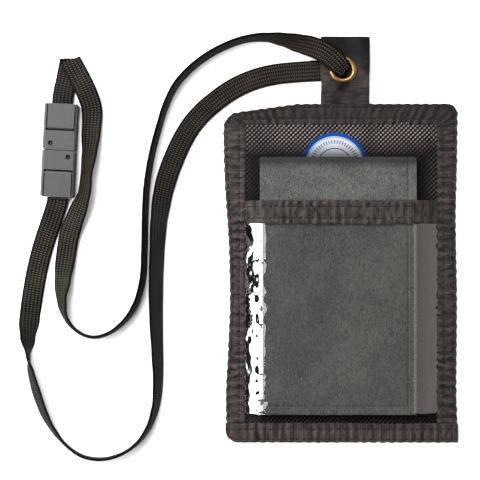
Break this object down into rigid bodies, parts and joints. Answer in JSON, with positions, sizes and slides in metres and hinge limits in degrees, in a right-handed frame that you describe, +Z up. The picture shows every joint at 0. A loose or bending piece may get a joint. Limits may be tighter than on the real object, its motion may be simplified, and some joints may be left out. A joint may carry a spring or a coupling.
{
  "type": "neck pouch wallet",
  "caption": "Flat neck pouch with a bound nylon back, a clear front pocket holding a booklet, a hanging tab with grommet, and a braided neck strap with a breakaway buckle.",
  "frame": {"origin": "on the surface the pouch lies on, under the middle of the pouch and its hanging tab", "axes": "+X across the pouch to its right side seen from the front, +Y from the pouch's bottom to the hanging tab, +Z up out of the clear front"},
  "size_m": [0.2095, 0.2036, 0.011],
  "materials": {
    "nylon_panel": "coarse woven nylon, black-brown",
    "binding_tape": "ribbed nylon binding tape, black-brown",
    "clear_vinyl": "clear glossy vinyl sheet",
    "label_print": "printed round label with a blue rim",
    "tab_webbing": "smooth satin nylon webbing, near black",
    "brass": "polished brass",
    "cover_cloth": "grey book cloth",
    "paper": "off-white paper",
    "strap_braid": "flat black braid with lengthwise ribs",
    "buckle_plastic": "satin black moulded plastic"
  },
  "bodies": {
    "pouch": {"rear_panel": "nylon_panel", "binding_left": "binding_tape", "binding_right": "binding_tape", "binding_top": "binding_tape", "binding_bottom": "binding_tape", "window": "clear_vinyl", "window_tape": "binding_tape", "round_label": "label_print", "hanging_tab": "tab_webbing", "grommet": "brass", "grommet_washer": "brass", "strap_front": "strap_braid", "strap_rear": "strap_braid", "strap_through": "strap_braid", "strap_tail_lower": "strap_braid", "buckle_lower_shell": "buckle_plastic"},
    "booklet": {"booklet_cover": "cover_cloth", "booklet_pages": "paper"},
    "buckle_upper": {"buckle_upper_shell": "buckle_plastic", "strap_tail_upper": "strap_braid"},
    "door_upper": {"door_upper": "buckle_plastic"},
    "door_lower": {"door_lower": "buckle_plastic"}
  },
  "joints": [
    {"name": "booklet_slide", "type": "slide", "parent": "pouch", "child": "booklet", "axis": [0, 1, 0], "range_m": [0, 0.028]},
    {"name": "buckle_release", "type": "slide", "parent": "pouch", "child": "buckle_upper", "axis": [0.0506, 0.9987, 0], "range_m": [0, 0.01], "deforming": ["strap_front"]},
    {"name": "door_upper_hinge", "type": "hinge", "parent": "buckle_upper", "child": "door_upper", "pos_m": [-0.13345, 0.05339, 0.0048], "axis": [0.9987, -0.0506, 0], "range_deg": [0, 95]},
    {"name": "door_lower_hinge", "type": "hinge", "parent": "pouch", "child": "door_lower", "pos_m": [-0.13455, 0.03161, 0.0048], "axis": [-0.9987, 0.0506, 0], "range_deg": [0, 95]}
  ]
}
